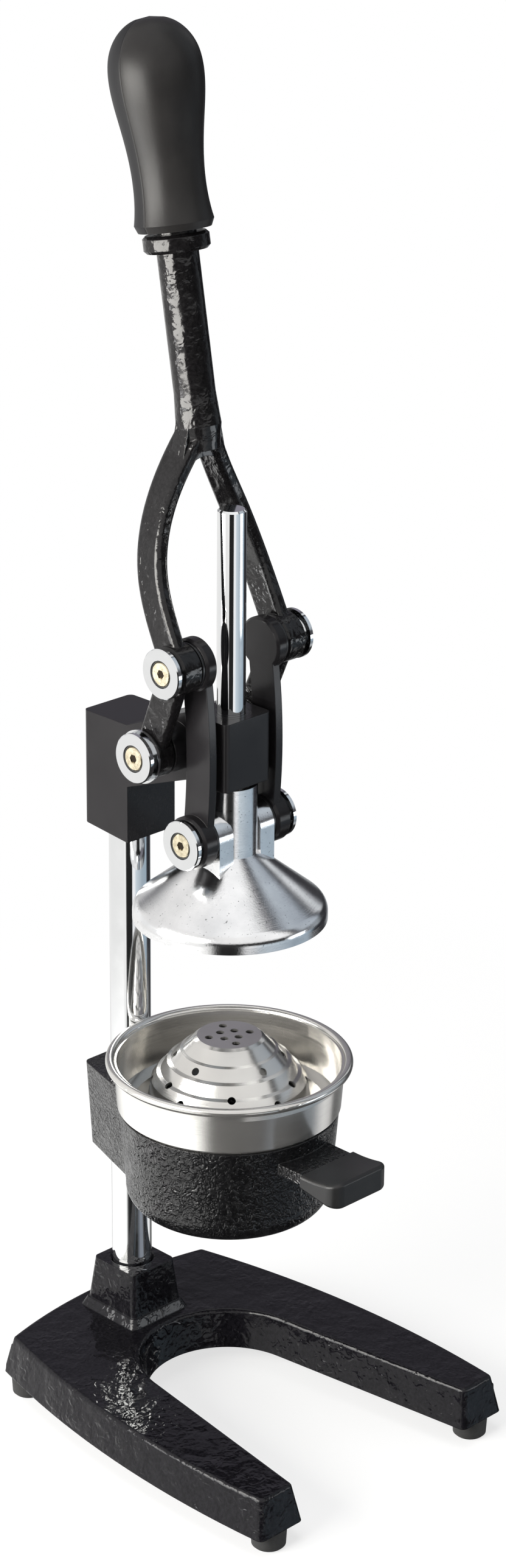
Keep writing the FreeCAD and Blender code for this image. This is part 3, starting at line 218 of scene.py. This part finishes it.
def satin_black(name, color, smoothest, roughest, peel_depth_mm, specular):
    """Smooth black coat with faint orange peel, a little cloudy in colour and gloss."""
    s = Shader(name)
    peel = s.noise(1.6, detail=2.0)
    clouds = s.noise(22)
    normal = s.bump(peel, peel_depth_mm, s.rounded(0.7))
    darker = tuple(c * 0.8 for c in color)
    s.set(Specular_IOR_Level=specular)
    return s.finish(s.mix(clouds, darker, color), s.ramp(clouds, 0.3, 0.7, smoothest, roughest), normal)


def grip_plastic(name):
    """Moulded black plastic: fine spark-eroded grain, a little polished where hands rub."""
    s = Shader(name)
    grain = s.noise(0.5, detail=2.0, rough=0.7)
    wear = s.noise(28)
    color = s.mix(s.ramp(wear, 0.35, 0.7), (0.008, 0.008, 0.0085), (0.014, 0.014, 0.0145))
    s.set(Specular_IOR_Level=0.4)
    return s.finish(color, s.ramp(wear, 0.3, 0.7, 0.3, 0.4), s.bump(grain, 0.03))


def lever_plastic(name, foot, tilt):
    """Plastic of the lever's grip: a parting line across the grip, and painted shade that makes the half
    behind it darker.
    """
    s = Shader(name)
    _, along, height = s.split(s.object_space)
    back = s.math("MULTIPLY", s.math("SUBTRACT", along, foot[0]), math.cos(tilt))
    up = s.math("MULTIPLY", s.math("SUBTRACT", height, foot[1]), math.sin(tilt))
    behind = s.math("SUBTRACT", back, up)
    # the half behind the parting line: darker colour as painted shade, and a little rougher
    shaded_rear = s.ramp(behind, -0.2 * MM, 0.4 * MM)
    seam = s.ramp(s.math("ABSOLUTE", behind), 0.1 * MM, 0.7 * MM)
    grain = s.noise(0.5, detail=2.0, rough=0.7)
    wear = s.noise(26)
    scuffs = s.ramp(s.noise(5, detail=5.0, rough=0.7), 0.62, 0.75, 0.0, 0.08)
    normal = s.bump(grain, 0.03, s.bump(seam, 0.25))
    front = s.mix(s.ramp(wear, 0.35, 0.7), (0.0125, 0.0118, 0.0118), (0.019, 0.018, 0.0175))
    s.set(Specular_IOR_Level=0.24)
    rough = s.math("ADD", s.ramp(shaded_rear, 0.0, 1.0, 0.37, 0.5), scuffs)
    # painted shade: the half behind the parting line takes the darker colour
    return s.finish(s.mix(shaded_rear, front, (0.007, 0.007, 0.008)), rough, normal)


def rubber(name):
    """Dull black rubber with a fine grain."""
    s = Shader(name)
    grain = s.noise(0.6, rough=0.7)
    color = s.mix(s.noise(9), (0.012, 0.012, 0.012), (0.028, 0.028, 0.028))
    return s.finish(color, s.ramp(grain, 0.3, 0.7, 0.6, 0.78), s.bump(grain, 0.05))


def chrome(name):
    """Bright plate with faint upright polishing marks and small smudges."""
    s = Shader(name)
    marks = s.noise(0.7, detail=2.0, vector=s.stretched((1, 1, 0.05)))
    smudge = s.noise(14, detail=4.0, rough=0.6)
    s.set(Metallic=1.0)
    color = s.mix(smudge, (0.7896, 0.799, 0.8084), (0.84, 0.85, 0.86))
    return s.finish(color, s.ramp(smudge, 0.35, 0.7, 0.045, 0.105), s.bump(marks, 0.004))


def brass(name):
    """Pale brass, stained and lightly scratched."""
    s = Shader(name)
    stain = s.noise(2.5, detail=4.0, rough=0.6)
    s.set(Metallic=1.0)
    color = s.mix(stain, (0.5, 0.43, 0.29), (0.68, 0.62, 0.48))
    return s.finish(color, s.ramp(stain, 0.3, 0.7, 0.2, 0.36), s.bump(s.noise(0.6, detail=2.0), 0.006))


def steel(name, color):
    """Dull steel with stains."""
    s = Shader(name)
    stain = s.noise(3.0, detail=4.0, rough=0.6)
    s.set(Metallic=1.0)
    darker = tuple(c * 0.7 for c in color)
    return s.finish(s.mix(stain, darker, color), s.ramp(stain, 0.3, 0.7, 0.28, 0.45), s.bump(stain, 0.02))


def turned_metal(name, axis, dark, light, smoothest, groove_mm, groove_depth_mm, speck_depth_mm,
                 metallic, cloud_mm, pitted):
    """Metal finished on a lathe: fine rings round a vertical axis, specks, soft clouds and dark pits."""
    s = Shader(name)
    radius, height = s.distance(axis.x, axis.y)
    profile = s.add("ShaderNodeCombineXYZ")
    s.link(radius, profile.inputs["X"])
    s.link(height, profile.inputs["Z"])
    rings = s.noise(groove_mm, rough=0.6, vector=profile.outputs["Vector"])
    specks = s.noise(0.9, detail=4.0, rough=0.75)
    clouds = s.noise(cloud_mm)
    pits = s.ramp(s.noise(1.4, rough=0.6), 0.66, 0.7, 0.0, pitted)
    normal = s.bump(specks, speck_depth_mm, s.bump(rings, groove_depth_mm))
    color = s.mix(pits, s.mix(s.ramp(clouds, 0.3, 0.7), dark, light), (0.12, 0.12, 0.12))
    s.set(Metallic=metallic)
    return s.finish(color, s.ramp(rings, 0.3, 0.7, smoothest, smoothest + 0.1), normal)


def centre_of(node):
    low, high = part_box(node)
    return (low + high) / 2


GRIP_FOOT = (0.02809, 0.53496)      # a point of the lever's axis: Y and Z, in metres
GRIP_TILT = math.radians(10.1)
oxide_black = satin_black("washer_black", (0.012, 0.012, 0.013), 0.2, 0.34, peel_depth_mm=0.03, specular=0.5)

# By material slot, or by node where one node differs from the rest of its slot
MATERIALS = {
    "base_paint": enamel("base_enamel", ripple_mm=4.2, depth_mm=0.6, dark=(0.003, 0.0028, 0.0038),
                         light=(0.0065, 0.006, 0.0078), smoothest=0.07, specular=0.28, edge_mm=0.9),
    "hammer_paint": hammered("hammer_black"),
    "satin_paint": satin_black("satin_black", (0.0115, 0.0108, 0.0118), 0.16, 0.24, peel_depth_mm=0.02,
                               specular=0.25),
    "lever_paint": enamel("lever_enamel", ripple_mm=3.8, depth_mm=0.5, dark=(0.004, 0.0037, 0.004),
                          light=(0.0075, 0.007, 0.0075), smoothest=0.08, specular=0.38, edge_mm=0.6),
    "grip_plastic": grip_plastic("grip_black"),
    "lever_grip": lever_plastic("lever_grip_black", GRIP_FOOT, GRIP_TILT),
    "foot_rubber": rubber("foot_black"),
    "washer_black": oxide_black,
    "guide_bush_upper": oxide_black,
    "screw_steel": steel("zinc_steel", (0.42, 0.42, 0.43)),
    "bright_chrome": chrome("bright_chrome"),
    "screw_brass": brass("pale_brass"),
    "bush_brass": brass("bush_metal"),
    "cone_aluminium": turned_metal("polished_aluminium", centre_of("guide_rod"), dark=(0.74, 0.745, 0.755),
                                   light=(0.91, 0.91, 0.915), smoothest=0.09, groove_mm=0.9,
                                   groove_depth_mm=0.008, speck_depth_mm=0.035, metallic=1.0, cloud_mm=16,
                                   pitted=0.8),
    "cup_steel": turned_metal("spun_steel", centre_of("strainer_cup"), dark=(0.58, 0.57, 0.55),
                              light=(0.67, 0.66, 0.64), smoothest=0.13, groove_mm=0.5, groove_depth_mm=0.01,
                              speck_depth_mm=0.01, metallic=0.9, cloud_mm=30, pitted=0.0),
}


def paint_nodes():
    slot_of = {row["node"]: row["material_slot"] for row in frame["record"]["subparts"]}
    for name, obj in nodes.items():
        obj.data.materials.clear()
        obj.data.materials.append(MATERIALS.get(name) or MATERIALS[slot_of[name]])


# Dark pieces that paint shade into the pivot caps: a black ring in each cap's recess round the screw's head,
# which is painted shade of the recess, and a dark disk at the floor of each screw's socket, which is painted
# shade in the socket. Profiles give depth below the cap's face and radius, in millimetres.
RECESS_SHADE_PROFILE = [(1.58, 6.12), (0.75, 6.12), (0.5, 6.5), (0.75, 6.92), (1.58, 6.92)]
SOCKET_FLOOR_PROFILE = [(1.08, 0.0), (0.62, 0.0), (0.62, 1.9), (1.08, 1.9)]
TURN_STEPS = 48


def turned_piece(name, profile, face, inwards, axis, material, body):
    """Solid of revolution about the line along X through axis, set into the face at that X."""
    verts = []
    for depth, radius in profile:
        for k in range(TURN_STEPS):
            angle = 2 * math.pi * k / TURN_STEPS
            verts.append((face + inwards * depth * MM, axis[1] + radius * MM * math.cos(angle),
                          axis[2] + radius * MM * math.sin(angle)))
    faces = []
    rows = len(profile)
    for row in range(rows):
        after = (row + 1) % rows
        for k in range(TURN_STEPS):
            step = (k + 1) % TURN_STEPS
            faces.append((row * TURN_STEPS + k, row * TURN_STEPS + step,
                          after * TURN_STEPS + step, after * TURN_STEPS + k))
    mesh = bpy.data.meshes.new(name)
    mesh.from_pydata(verts, [], faces)
    mesh.update()
    mesh.materials.append(material)
    piece = bpy.data.objects.new(name, mesh)
    bpy.context.scene.collection.objects.link(piece)
    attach(piece, body)


def cap_details():
    """In each pivot cap, a black ring round the screw's head that is painted shade of the recess, and a dark
    disk that is painted shade at the floor of its socket.
    """
    # black ring in the recess round the screw's head: painted shade of the recess
    recess_shade = rubber("cap_recess_shade")
    # dark disk at the floor of each screw's socket: painted shade inside the socket
    socket_shade = steel("socket_floor_shade", (0.03, 0.022, 0.015))
    for pivot in ("fulcrum", "knee", "lower"):
        for side, inwards in (("left", 1), ("right", -1)):
            cap = f"{pivot}_cap_{side}"
            low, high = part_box(cap)
            face = low.x if side == "left" else high.x
            body = body_of(nodes[cap])[0]
            for kind, profile, material in (("cap_recess_shade", RECESS_SHADE_PROFILE, recess_shade),
                                            ("socket_floor", SOCKET_FLOOR_PROFILE, socket_shade)):
                turned_piece(f"{pivot}_{kind}_{side}", profile, face, inwards, (low + high) / 2, material,
                             body)


# Floor, lamps and studio
FLOOR_SIZE = 16
FLOOR_DROP = 0.0002             # floor below the feet
FLOOR_WHITE = 0.7               # share of plain white near the object, where the rest takes its shadow
FLOOR_FADE = (0.15, 0.7)        # distances between which the floor turns to plain white
WORLD_FILL = 0.36

MIDDLE = (0, 0, 0.35)
# Name, place, target, width and height, power, colour, and whether reflections show it
LAMPS = [
    ("strip_left", (-0.988, 0.186, 0.62), (0, 0.03, 0.6), (0.98, 0.42), 19, (1.0, 0.98, 0.93), True),
    ("low_left", (-0.9, 0.4, 0.2), (0, 0, 0.15), (0.5, 0.26), 3.2, (1, 1, 1), True),
    ("low_right", (0.62, -0.85, 0.2), (0, 0, 0.15), (0.4, 0.24), 1.0, (0.92, 0.96, 1.0), True),
    ("key_left", (-1.9, 0.1, 0.9), MIDDLE, (1.2, 1.6), 20, (1.0, 0.97, 0.93), False),
    ("top", (-0.3, 0.1, 2.2), MIDDLE, (1.4, 1.4), 24, (1, 1, 1), False),
    ("soft_right", (1.3, -1.5, 0.8), MIDDLE, (0.8, 1.2), 2.5, (0.9, 0.95, 1.0), False),
]

# Panels that gloss and metal reflect, in rings round the object: azimuth in degrees from +X, then colour
NADIR = (0.03, 0.03, 0.03)
BELOW_RING = [
    (0, (0.1, 0.1, 0.1)), (60, (0.5, 0.5, 0.5)), (92, (1.6, 1.6, 1.58)), (188, (2.2, 2.2, 2.15)),
    (206, (0.1, 0.1, 0.1)), (214, (0.02, 0.02, 0.02)), (260, (0.02, 0.02, 0.02)), (278, (0.24, 0.26, 0.3)),
    (322, (0.24, 0.27, 0.3)), (340, (1.1, 1.1, 1.1)), (354, (0.8, 0.8, 0.8)), (360, (0.1, 0.1, 0.1)),
]
LOW_RING = [
    (0, (0.03, 0.03, 0.035)), (14, (0.03, 0.03, 0.035)), (30, (0.4, 0.42, 0.44)), (52, (0.45, 0.45, 0.45)),
    (62, (0.95, 0.945, 0.93)), (196, (0.97, 0.96, 0.945)), (203, (1.15, 1.14, 1.12)),
    (208, (0.02, 0.02, 0.02)), (239, (0.02, 0.02, 0.02)), (243, (1.1, 1.1, 1.1)), (256, (0.95, 0.97, 1.0)),
    (262, (0.68, 0.76, 0.82)), (300, (0.4, 0.48, 0.55)), (330, (0.36, 0.45, 0.53)),
    (338, (0.03, 0.03, 0.035)), (360, (0.03, 0.03, 0.035)),
]
MID_RING = [
    (0, (0.03, 0.03, 0.035)), (40, (0.05, 0.05, 0.055)), (62, (0.4, 0.4, 0.4)), (84, (0.95, 0.95, 0.95)),
    (196, (1.05, 1.05, 1.03)), (206, (0.04, 0.04, 0.04)), (240, (0.03, 0.03, 0.03)),
    (300, (0.05, 0.05, 0.05)), (318, (0.1, 0.1, 0.11)), (336, (0.3, 0.33, 0.36)), (348, (0.3, 0.33, 0.36)),
    (354, (0.03, 0.03, 0.03)), (360, (0.03, 0.03, 0.035)),
]
HIGH_RING = [
    (0, (0.05, 0.05, 0.06)), (4, (0.78, 0.8, 0.82)), (11, (0.7, 0.73, 0.76)), (16, (0.06, 0.06, 0.07)),
    (30, (0.24, 0.23, 0.27)), (60, (0.26, 0.25, 0.29)), (80, (0.25, 0.25, 0.26)), (95, (0.9, 0.89, 0.88)),
    (225, (0.98, 0.97, 0.96)), (299, (1.05, 1.05, 1.05)), (303, (0.05, 0.05, 0.05)),
    (311, (0.08, 0.08, 0.09)), (316, (0.52, 0.57, 0.62)), (350, (0.45, 0.5, 0.56)),
    (355, (0.05, 0.05, 0.06)), (360, (0.05, 0.05, 0.06)),
]
UP_RING = [
    (0, (0.8, 0.82, 0.84)), (90, (1.0, 0.99, 0.98)), (240, (1.05, 1.05, 1.05)), (306, (1.06, 1.06, 1.06)),
    (311, (0.05, 0.05, 0.06)), (329, (0.04, 0.04, 0.05)), (334, (0.55, 0.6, 0.65)), (360, (0.6, 0.65, 0.7)),
]
ZENITH = (1.06, 1.06, 1.06)

# From the nadir upwards: heights between which each ring takes over from the one below it
STUDIO = [
    (-0.7, -0.6, BELOW_RING),
    (-0.48, -0.4, LOW_RING),
    (-0.26, -0.12, MID_RING),
    (0.1, 0.24, HIGH_RING),
    (0.78, 0.86, UP_RING),
    (0.95, 0.985, ZENITH),
]


def make_floor():
    """Pale floor: white to the camera apart from the object's shadow, and unseen in reflections."""
    bpy.ops.mesh.primitive_plane_add(size=FLOOR_SIZE, location=(0, 0, -FLOOR_DROP))
    floor = bpy.context.object
    floor.name = "floor"
    s = Shader("floor_pale")
    s.set(Specular_IOR_Level=0.0, Roughness=0.9)
    s.finish(s.mix(s.noise(60, detail=2.0), (0.86, 0.86, 0.86), (0.88, 0.88, 0.88)))
    away, _ = s.distance(0.0, 0.0)
    path = s.add("ShaderNodeLightPath")
    white = s.math("MULTIPLY", s.ramp(away, *FLOOR_FADE, FLOOR_WHITE, 1.0), path.outputs["Is Camera Ray"])
    glow = s.add("ShaderNodeEmission")
    glow.inputs["Color"].default_value = (1, 1, 1, 1)
    mix = s.add("ShaderNodeMixShader")
    s.link(white, mix.inputs["Fac"])
    s.link(s.bsdf.outputs["BSDF"], mix.inputs[1])
    s.link(glow.outputs["Emission"], mix.inputs[2])
    s.link(mix.outputs["Shader"], s.tree.nodes["Material Output"].inputs["Surface"])
    floor.data.materials.append(s.material)
    floor.visible_glossy = False


def make_lamps():
    for name, place, target, size, power, color, shows in LAMPS:
        data = bpy.data.lights.new(name, "AREA")
        data.shape = "RECTANGLE"
        data.size, data.size_y = size
        data.energy = power
        data.color = color
        lamp = bpy.data.objects.new(name, data)
        bpy.context.scene.collection.objects.link(lamp)
        aim = Vector(target) - Vector(place)
        lamp.location = place
        lamp.rotation_euler = aim.to_track_quat("-Z", "Y").to_euler()
        lamp.visible_glossy = shows


def make_world():
    """White to the camera, a soft fill for matt surfaces, and the studio's panels for reflections."""
    world = bpy.data.worlds.new("studio")
    bpy.context.scene.world = world
    world.use_nodes = True
    w = NodeTree(world.node_tree)
    w.tree.nodes.clear()

    def ring(share, stops):
        node = w.add("ShaderNodeValToRGB")
        w.link(share, node.inputs["Fac"])
        ramp = node.color_ramp
        while len(ramp.elements) < len(stops):
            ramp.elements.new(0.5)
        for element, (degrees, color) in zip(ramp.elements, stops):
            element.position = degrees / 360
            element.color = (*color, 1)
        return node.outputs["Color"]

    x, y, height = w.split(w.add("ShaderNodeTexCoord").outputs["Generated"])
    turn = w.math("DIVIDE", w.math("ARCTAN2", y, x), 2 * math.pi)
    share = w.math("FRACT", w.math("ADD", turn, 1.0))
    studio = NADIR
    for low, high, panels in STUDIO:
        upper = panels if isinstance(panels, tuple) else ring(share, panels)
        studio = w.mix(w.ramp(height, low, high, interpolation_type="SMOOTHSTEP"), studio, upper)
    path = w.add("ShaderNodeLightPath")
    seen = w.math("MAXIMUM", path.outputs["Is Glossy Ray"], path.outputs["Is Transmission Ray"])
    color = w.mix(seen, (WORLD_FILL,) * 3, studio)
    color = w.mix(path.outputs["Is Camera Ray"], color, (1.0, 1.0, 1.0))
    background = w.add("ShaderNodeBackground")
    w.link(color, background.inputs["Color"])
    out = w.add("ShaderNodeOutputWorld")
    w.link(background.outputs["Background"], out.inputs["Surface"])


# Viewing angle of the photograph, worked out from the object's own edges in it
PHOTO_SIZE = (832, 2576)
PHOTO_CENTRE = (373.95, 1226.26)    # where the optical axis meets the photograph
FOCAL_PIXELS = 5679.4
SENSOR_HEIGHT = 36
VIEW_TURN = math.radians(-44.34)    # from straight in front, towards the object's left
VIEW_RISE = math.radians(20.68)
VIEW_ROLL = math.radians(0.28)
VIEW_DISTANCE = 1.70923
VIEW_TARGET = Vector((0.0, 0.00715, 0.37487))


def make_camera():
    back = Vector((math.sin(VIEW_TURN) * math.cos(VIEW_RISE), -math.cos(VIEW_TURN) * math.cos(VIEW_RISE),
                   math.sin(VIEW_RISE)))
    right = Vector((math.cos(VIEW_TURN), math.sin(VIEW_TURN), 0))
    up = back.cross(right)
    turned_right = right * math.cos(VIEW_ROLL) + up * math.sin(VIEW_ROLL)
    turned_up = up * math.cos(VIEW_ROLL) - right * math.sin(VIEW_ROLL)
    data = bpy.data.cameras.new("photo_view")
    data.sensor_fit = "VERTICAL"
    data.sensor_height = SENSOR_HEIGHT
    data.lens = FOCAL_PIXELS / PHOTO_SIZE[1] * SENSOR_HEIGHT
    data.shift_x = (PHOTO_SIZE[0] / 2 - PHOTO_CENTRE[0]) / PHOTO_SIZE[1]
    data.shift_y = (PHOTO_CENTRE[1] - PHOTO_SIZE[1] / 2) / PHOTO_SIZE[1]
    camera = bpy.data.objects.new("photo_view", data)
    bpy.context.scene.collection.objects.link(camera)
    place = Matrix((turned_right, turned_up, back)).transposed().to_4x4()
    place.translation = VIEW_TARGET + back * VIEW_DISTANCE
    camera.matrix_world = place
    bpy.context.scene.camera = camera


paint_nodes()
cap_details()
make_floor()
make_world()
make_lamps()
make_camera()
bpy.context.scene.view_settings.view_transform = "Standard"
